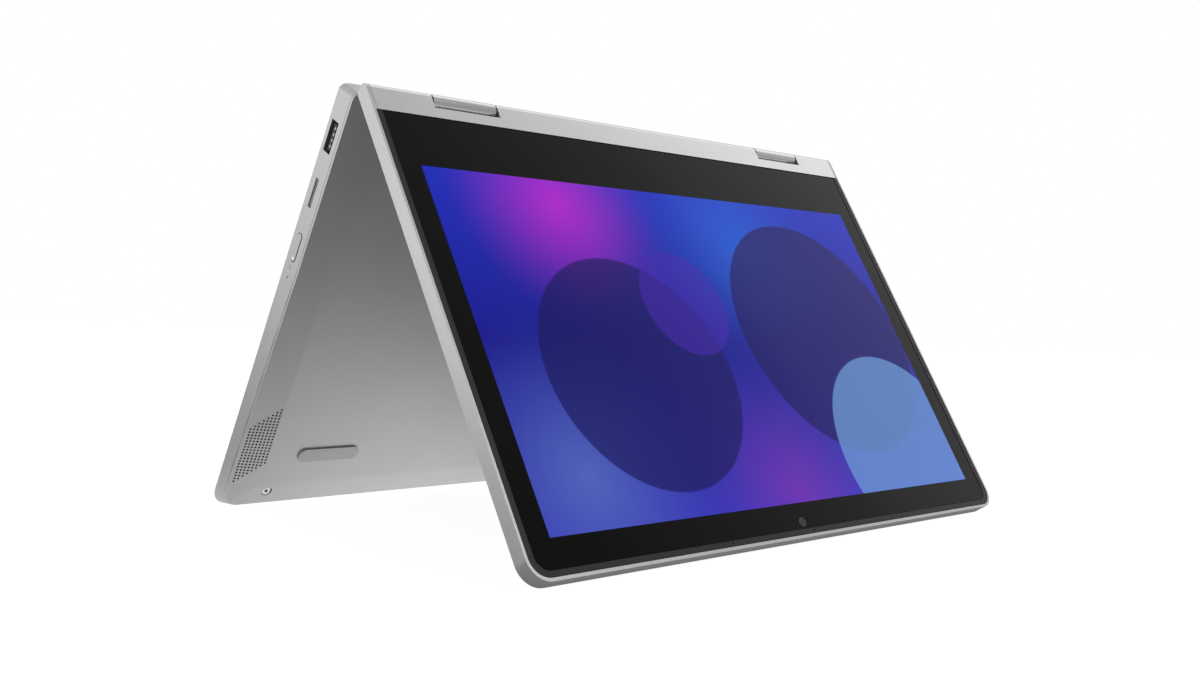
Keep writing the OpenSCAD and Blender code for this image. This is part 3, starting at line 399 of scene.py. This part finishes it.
def picture_material():
    """A generic wallpaper: large soft discs over a blue ground, with a magenta glow."""
    m = Nodes("picture")
    uv = m.add("ShaderNodeUVMap", uv_map="screen")
    split = m.add("ShaderNodeSeparateXYZ")
    m.link(uv.outputs["UV"], split.inputs["Vector"])

    def soft_disc(x, y, radius, edge):
        """1 inside a disc, 0 outside."""
        away = m.add("ShaderNodeVectorMath", operation="DISTANCE")
        m.link(uv.outputs["UV"], away.inputs[0])
        away.inputs[1].default_value = (x, y, 0)
        ring = m.add("ShaderNodeMapRange", interpolation_type="SMOOTHSTEP")
        ring.inputs["From Min"].default_value = radius - edge
        ring.inputs["From Max"].default_value = radius + edge
        ring.inputs["To Min"].default_value = 1
        ring.inputs["To Max"].default_value = 0
        m.link(away.outputs["Value"], ring.inputs["Value"])
        return ring.outputs["Result"]

    def layer(below, mask, colour, amount):
        scaled = m.add("ShaderNodeMath", operation="MULTIPLY")
        m.link(mask, scaled.inputs[0])
        scaled.inputs[1].default_value = amount
        mix = m.add("ShaderNodeMix", data_type="RGBA")
        m.link(scaled.outputs[0], mix.inputs["Factor"])
        m.link(below, mix.inputs[6])
        mix.inputs[7].default_value = (*colour, 1)
        return mix.outputs[2]

    ground = m.add("ShaderNodeValToRGB")
    ramp = ground.color_ramp
    ramp.elements[0].color = (0.030, 0.028, 0.44, 1)
    ramp.elements[1].color = (0.008, 0.020, 0.46, 1)
    middle = ramp.elements.new(0.5)
    middle.color = (0.005, 0.005, 0.25, 1)
    height = m.add("ShaderNodeMath", operation="DIVIDE")
    m.link(split.outputs["Y"], height.inputs[0])
    height.inputs[1].default_value = 9
    m.link(height.outputs[0], ground.inputs["Fac"])
    colour = ground.outputs["Color"]
    for x, y, radius, edge, shade, amount in PICTURE_GLOWS:
        colour = layer(colour, soft_disc(x, y, radius, edge), shade, amount)
    for x, y, radius, shade, amount in PICTURE_DISCS:
        colour = layer(colour, soft_disc(x, y, radius, DISC_EDGE), shade, amount)
    m.set(Roughness=0.05, IOR=GLASS_IOR)
    m.shader.inputs["Base Color"].default_value = (0.004, 0.004, 0.005, 1)
    m.link(colour, m.shader.inputs["Emission Color"])
    m.set(Emission_Strength=1.0)
    return m.material


def screen_picture():
    """The lit area, a hair above the glass, with coordinates of 16 by 9 from its lower left."""
    bm = bmesh.new()
    half = ACTIVE[0] / 2
    y0, y1 = ACTIVE_Y, ACTIVE_Y + ACTIVE[1]
    z = GLASS_Z - 0.03 * MM
    corners = [bm.verts.new(c) for c in ((-half, y0, z), (-half, y1, z), (half, y1, z),
                                         (half, y0, z))]
    face = bm.faces.new(corners)
    layer = bm.loops.layers.uv.new("screen")
    for loop, uv in zip(face.loops, ((0, 9), (0, 0), (16, 0), (16, 9))):
        loop[layer].uv = uv
    finish_mesh("screen_picture", bm, LID, "lid", picture_material())


# ---------------------------------------------------------------- small fittings

EYE_Y = FRONT_Y - 6.5 * MM


def camera_eye():
    """A fine ring and a glass dot over the camera."""
    bm = bmesh.new()
    add_disc(bm, (0, EYE_Y, GLASS_Z), 1.15 * MM, 0.06 * MM)
    dot = grained("camera_dot", (0.004, 0.006, 0.02), 0.0, 0.05, relief=0.0, rough_spread=0.01)
    finish_mesh("camera_dot", bm, LID, "lid", dot)
    bm = bmesh.new()
    add_disc(bm, (0, EYE_Y, GLASS_Z + 0.01 * MM), 1.85 * MM, 0.05 * MM, sides=32)
    ring = grained("camera_ring", (0.03, 0.03, 0.034), 0.0, 0.3)
    finish_mesh("camera_ring", bm, LID, "lid", ring)


def power_marks():
    """The power button's light and the usual power sign beside it."""
    x = -HALF_W - 0.2 * MM
    bm = bmesh.new()
    add_disc(bm, (x, POWER_Y + 4.6 * MM, PORT_Z), 0.38 * MM, 0.08 * MM, axis="X", sides=16)
    light = glowing("light_white", (0.9, 0.95, 1.0), 1.4)
    finish_mesh("power_light", bm, BASE, "power_button", light)
    bm = bmesh.new()
    centre = Vector((-HALF_W, POWER_Y + 8.7 * MM, PORT_Z))
    outer, inner = 0.75 * MM, 0.58 * MM
    steps = 20
    ring = []
    for i in range(steps + 1):
        a = math.radians(130 + 280 * i / steps)
        ring.append([centre + Vector((s, r * math.cos(a), r * math.sin(a)))
                     for s in (-0.02 * MM, 0.02 * MM) for r in (inner, outer)])
    rows = [[bm.verts.new(p) for p in group] for group in ring]
    for a, b in zip(rows, rows[1:]):
        for i, j in ((0, 1), (1, 3), (3, 2), (2, 0)):
            bm.faces.new((a[i], a[j], b[j], b[i]))
    for end in (rows[0], rows[-1]):
        bm.faces.new((end[0], end[1], end[3], end[2]))
    add_box(bm, centre + Vector((-0.02 * MM, -0.09 * MM, 0.1 * MM)),
            centre + Vector((0.02 * MM, 0.09 * MM, 0.95 * MM)))
    bmesh.ops.recalc_face_normals(bm, faces=bm.faces)
    finish_mesh("power_sign", bm, BASE, "base", grained("mark_grey", (0.12, 0.12, 0.12), 0, 0.5))


def usb_contacts():
    """The tongues' tips near the mouths of both USB sockets, with four contacts on each."""
    tips = bmesh.new()
    contacts = bmesh.new()
    for side, y in ((-1, USB_RIGHT_Y), (1, USB_LEFT_Y)):
        x0, x1 = sorted((side * (HALF_W - 2.7 * MM), side * (HALF_W - 0.6 * MM)))
        add_box(tips, (x0, y - 5.4 * MM, PORT_Z - 0.8 * MM), (x1, y + 5.4 * MM, PORT_Z + 0.8 * MM))
        x0, x1 = sorted((side * (HALF_W - 8.5 * MM), side * (HALF_W - 0.5 * MM)))
        for i in range(4):
            c = y + (i - 1.5) * 2.4 * MM
            add_box(contacts, (x0, c - 0.6 * MM, PORT_Z - 0.92 * MM),
                    (x1, c + 0.6 * MM, PORT_Z - 0.2 * MM))
    finish_mesh("usb_tongue_tips", tips, BASE, "base", MATERIALS["black_plastic"])
    nickel = brushed("contact_nickel", (0.46, 0.45, 0.43), 0.35)
    finish_mesh("usb_contacts", contacts, BASE, "base", nickel)


def card_blank():
    """The plastic blank that fills the memory card slot."""
    bm = bmesh.new()
    add_box(bm, (-HALF_W + 0.4 * MM, CARD_Y - 5.9 * MM, PORT_Z - 0.95 * MM),
            (-HALF_W + 2.1 * MM, CARD_Y + 5.9 * MM, PORT_Z + 0.95 * MM))
    blank = grained("card_blank", (0.33, 0.33, 0.33), 0.0, 0.5, relief=0.03)
    finish_mesh("card_blank", bm, BASE, "base", blank)


def seam_lines():
    """The shadow in the seam between the deck and the bottom cover, along both sides."""
    bm = bmesh.new()
    stops = [1 * MM, BEVEL_START, BELLY_FRONT - BEVEL_W]
    for side in (-1, 1):
        x = side * (HALF_W + 0.01 * MM)
        pairs = []
        for y in stops:
            deeper = max(0.0, (y - BEVEL_START) / (BELLY_FRONT - BEVEL_START))
            z = BEVEL_REAR_H + (BEVEL_FRONT_H - BEVEL_REAR_H) * deeper + COVER_T
            pairs.append((bm.verts.new((x, y, z - 0.03 * MM)),
                          bm.verts.new((x, y, z + COVER_GAP + 0.03 * MM))))
        for (a, b), (c, d) in zip(pairs, pairs[1:]):
            bm.faces.new((a, b, d, c) if side > 0 else (a, c, d, b))
    seam = grained("seam_shadow", (0.06, 0.06, 0.06), 0.0, 0.6, relief=0.0)
    finish_mesh("seam_lines", bm, BASE, "base", seam)


SCREW_HEADS = (  # x, y and z of each head's face, in millimetres
    (-123, 178.9, 2.03), (123, 178.9, 2.03), (-120, 3, 0.48), (-40, 3, 0.48), (40, 3, 0.48),
    (120, 3, 0.48))


def screw_socket_shade():
    """Painted shade of six-lobed recesses: flat black lobed faces on the heads of the belly screws."""
    bm = bmesh.new()
    lobes = 6
    for x, y, z in SCREW_HEADS:
        points = []
        for i in range(lobes * 4):
            a = 2 * math.pi * i / (lobes * 4)
            r = (0.78 + 0.2 * math.cos(lobes * a)) * MM
            points.append(bm.verts.new((x * MM + r * math.cos(a), y * MM + r * math.sin(a),
                                        z * MM)))
        bm.faces.new(points)
    # flat black faces: painted shade where the recesses would be
    finish_mesh("screw_socket_shade", bm, BASE, "base", MATERIALS["chip_black"])


# ---------------------------------------------------------------- key legends

KEY_PITCH = 16.6 * MM
ROW_PITCH = 16.2 * MM
FN_PITCH = 10.2 * MM
KEYS_Y = 26 * MM
KEY_TOP = BASE_T - 0.1 * MM
LEGENDS = [  # node, the keys' widths in key pitches, and their words
    ("function_keys", [1] * 15, ["Esc", "F1", "F2", "F3", "F4", "F5", "F6", "F7", "F8", "F9", "F10",
                                 "F11", "F12", "Ins", "Del"]),
    ("number_keys", [1] * 13, list("`1234567890-=")),
    ("top_letter_keys", [1.5] + [1] * 12 + [1.5], ["Tab"] + list("QWERTYUIOP[]") + ["\\"]),
    ("home_letter_keys", [1.75] + [1] * 11, ["Caps"] + list("ASDFGHJKL;'")),
    ("bottom_letter_keys", [2.25] + [1] * 10 + [2.75], ["Shift"] + list("ZXCVBNM,./") + ["Shift"]),
    ("modifier_keys", [1.25, 1, 1, 1, 5.25, 1, 1, 1.25, 1.25, 1],
     ["Ctrl", "Fn", "", "Alt", "", "Alt", "Ctrl", "<", "", ">"]),
    ("backspace_key", [13, 2], ["", "Back"]),
    ("enter_key", [12.75, 2.25], ["", "Enter"]),
]
LEGEND_ROW = {"backspace_key": 1, "enter_key": 3}   # the others lie in the order of the list


def text_mesh(words, size):
    """Flat letters in the plain built-in font, from their upper left corner."""
    curve = bpy.data.curves.new("legend", "FONT")
    curve.body = words
    curve.size = size
    curve.resolution_u = 2
    curve.align_x = "LEFT"
    curve.align_y = "TOP"
    holder = bpy.data.objects.new("legend", curve)
    bpy.context.scene.collection.objects.link(holder)
    graph = bpy.context.evaluated_depsgraph_get()
    mesh = bpy.data.meshes.new_from_object(holder.evaluated_get(graph))
    bpy.data.objects.remove(holder)
    return mesh


def key_legends():
    """Plain letters and numbers, upright for a user who sits in front of the base."""
    white = grained("legend_white", (0.62, 0.62, 0.62), 0.0, 0.5)
    reader = Matrix.Rotation(math.pi, 4, "Z")
    for order, (node, widths, words) in enumerate(LEGENDS):
        row = LEGEND_ROW.get(node, order)
        y = KEYS_Y + (0 if row == 0 else FN_PITCH + (row - 1) * ROW_PITCH)
        bm = bmesh.new()
        x = 7.5 * KEY_PITCH
        for width, word in zip(widths, words):
            if word:
                size = (4.2 if len(word) == 1 else 2.6) * MM
                mesh = text_mesh(word, size)
                corner = Vector((x - 2.8 * MM, y + 2.6 * MM, KEY_TOP + 0.02 * MM))
                mesh.transform(Matrix.Translation(corner) @ reader)
                bm.from_mesh(mesh)
                bpy.data.meshes.remove(mesh)
            x -= width * KEY_PITCH
        finish_mesh("legends_" + node, bm, BASE, node, white)


# ---------------------------------------------------------------- studio

FLOOR_COLOUR = (0.38, 0.38, 0.38, 1)
GLOW_SQUEEZE = (0.8, 1, 1)              # painted glow: the floor shines a little under the base's front edge
GLOW_PLACE = (-0.03, 0.12, 0)
GLOW_REACH = 0.18
FLOOR_NEAR = 0.9
FLOOR_FAR = 0.2
FLOOR_SEEN = 0.9                        # the camera sees it near white
SOFTBOX_EDGE = (0.519, 0.803, -0.292)   # the softbox's edge lies where this dot direction is 0
SOFTBOX_DIM = 0.48
SOFTBOX_BRIGHT = 1.3
SOFTBOX_STEP = 0.12
SOFTBOX_FAR = 0.55                      # how much of it is left at its far side
FLAG_SIDE = (0.707, -0.707, 0)          # reflections are darker towards this side
FLAG_LEVEL = 0.85
SKY_LIGHT = 0.25
LAMPS = (  # name, place, target, width, height, watts
    ("side_light", (-0.95, 0.45, 0.15), (-0.14, 0, 0.1), 0.4, 0.4, 1.6),
    ("front_light", (0.5, -1.5, 1.1), (0, 0, 0.08), 0.8, 0.8, 9),
    ("back_light", (0.2, 1.2, 0.9), (0, 0, 0.08), 1.0, 0.8, 1.2),
)


def studio_floor():
    """A pale floor that keeps the shadow and looks near white to the camera, with a painted pool of light under
    the base's front edge for reflections and bounce light.
    """
    bm = bmesh.new()
    bmesh.ops.create_circle(bm, cap_ends=True, segments=64, radius=3.0)
    mesh = bpy.data.meshes.new("studio_floor")
    bm.to_mesh(mesh)
    bm.free()
    floor = bpy.data.objects.new("studio_floor", mesh)
    bpy.context.scene.collection.objects.link(floor)
    m = Nodes("studio_floor")
    m.set(Base_Color=FLOOR_COLOUR, Roughness=0.9, Emission_Color=(1, 1, 1, 1))
    coords = m.add("ShaderNodeTexCoord")
    squeeze = m.add("ShaderNodeMapping")
    squeeze.inputs["Scale"].default_value = GLOW_SQUEEZE
    m.link(coords.outputs["Object"], squeeze.inputs["Vector"])
    away = m.add("ShaderNodeVectorMath", operation="DISTANCE")
    m.link(squeeze.outputs["Vector"], away.inputs[0])
    away.inputs[1].default_value = GLOW_PLACE
    # painted pool of light: emission is stronger near GLOW_PLACE and fades with distance
    glow = m.add("ShaderNodeMapRange", interpolation_type="SMOOTHSTEP")
    glow.inputs["From Min"].default_value = 0.02
    glow.inputs["From Max"].default_value = GLOW_REACH
    glow.inputs["To Min"].default_value = FLOOR_NEAR
    glow.inputs["To Max"].default_value = FLOOR_FAR
    m.link(away.outputs["Value"], glow.inputs["Value"])
    path = m.add("ShaderNodeLightPath")
    level = m.add("ShaderNodeMix")
    m.link(path.outputs["Is Camera Ray"], level.inputs["Factor"])
    m.link(glow.outputs["Result"], level.inputs["A"])
    level.inputs["B"].default_value = FLOOR_SEEN
    m.link(level.outputs["Result"], m.shader.inputs["Emission Strength"])
    mesh.materials.append(m.material)


def studio_world():
    """White to the camera. Reflections see a softbox with an edge, and a dimmer flag beside it."""
    world = bpy.data.worlds.new("studio")
    bpy.context.scene.world = world
    world.use_nodes = True
    tree = world.node_tree
    background = tree.nodes["Background"]
    background.inputs["Color"].default_value = (1, 1, 1, 1)

    def add(kind, **settings):
        node = tree.nodes.new(kind)
        for key, value in settings.items():
            setattr(node, key, value)
        return node

    def span(value, low, high, to_low, to_high):
        node = add("ShaderNodeMapRange")
        for socket, number in zip(("From Min", "From Max", "To Min", "To Max"),
                                  (low, high, to_low, to_high)):
            node.inputs[socket].default_value = number
        tree.links.new(value, node.inputs["Value"])
        return node.outputs["Result"]

    def mix(factor, a, b):
        node = add("ShaderNodeMix")
        tree.links.new(factor, node.inputs["Factor"])
        for socket, value in (("A", a), ("B", b)):
            if isinstance(value, float):
                node.inputs[socket].default_value = value
            else:
                tree.links.new(value, node.inputs[socket])
        return node.outputs["Result"]

    path = add("ShaderNodeLightPath")
    coords = add("ShaderNodeTexCoord")
    side = add("ShaderNodeVectorMath", operation="DOT_PRODUCT")
    side.inputs[1].default_value = SOFTBOX_EDGE
    tree.links.new(coords.outputs["Generated"], side.inputs[0])
    slope = span(side.outputs["Value"], -0.2, 0.2, SOFTBOX_DIM, SOFTBOX_BRIGHT)
    step = span(side.outputs["Value"], -0.004, 0.004, 0.0, SOFTBOX_STEP)
    both = add("ShaderNodeMath", operation="ADD")
    tree.links.new(slope, both.inputs[0])
    tree.links.new(step, both.inputs[1])
    seen = add("ShaderNodeMath", operation="MAXIMUM")
    tree.links.new(path.outputs["Is Camera Ray"], seen.inputs[0])
    tree.links.new(path.outputs["Is Transmission Ray"], seen.inputs[1])
    fading = span(side.outputs["Value"], 0.22, 0.48, 1.0, SOFTBOX_FAR)
    shaded = add("ShaderNodeMath", operation="MULTIPLY")
    tree.links.new(both.outputs[0], shaded.inputs[0])
    tree.links.new(fading, shaded.inputs[1])
    ahead = add("ShaderNodeVectorMath", operation="DOT_PRODUCT")
    ahead.inputs[1].default_value = FLAG_SIDE
    tree.links.new(coords.outputs["Generated"], ahead.inputs[0])
    flagged = add("ShaderNodeMath", operation="MULTIPLY")
    tree.links.new(shaded.outputs[0], flagged.inputs[0])
    tree.links.new(span(ahead.outputs["Value"], 0.75, 0.93, 1.0, FLAG_LEVEL), flagged.inputs[1])
    level = mix(path.outputs["Is Glossy Ray"], SKY_LIGHT, flagged.outputs[0])
    level = mix(seen.outputs[0], level, 1.0)
    tree.links.new(level, background.inputs["Strength"])


def lights():
    for name, place, target, width, height, watts in LAMPS:
        data = bpy.data.lights.new(name, "AREA")
        data.shape = "RECTANGLE"
        data.size = width
        data.size_y = height
        data.energy = watts
        lamp = bpy.data.objects.new(name, data)
        bpy.context.scene.collection.objects.link(lamp)
        lamp.location = place
        aim = Vector(target) - Vector(place)
        lamp.rotation_euler = aim.to_track_quat("-Z", "Y").to_euler()


CAMERA_PLACE = (-0.4033, -0.4004, 0.0911)
CAMERA_TURN = (88.398, -1.789, -44.104)     # degrees about X, Y and Z
CAMERA_LENS = 38.54                         # millimetres, on a sensor 36 mm wide


def camera():
    data = bpy.data.cameras.new("camera")
    data.lens = CAMERA_LENS
    data.sensor_width = 36
    data.clip_start = 0.01
    eye = bpy.data.objects.new("camera", data)
    bpy.context.scene.collection.objects.link(eye)
    eye.location = CAMERA_PLACE
    eye.rotation_euler = [math.radians(a) for a in CAMERA_TURN]
    bpy.context.scene.camera = eye
    bpy.context.scene.view_settings.view_transform = "Standard"


dress_solids()
bottom_cover()
screen_picture()
camera_eye()
power_marks()
usb_contacts()
card_blank()
seam_lines()
screw_socket_shade()
key_legends()
studio_floor()
studio_world()
lights()
camera()
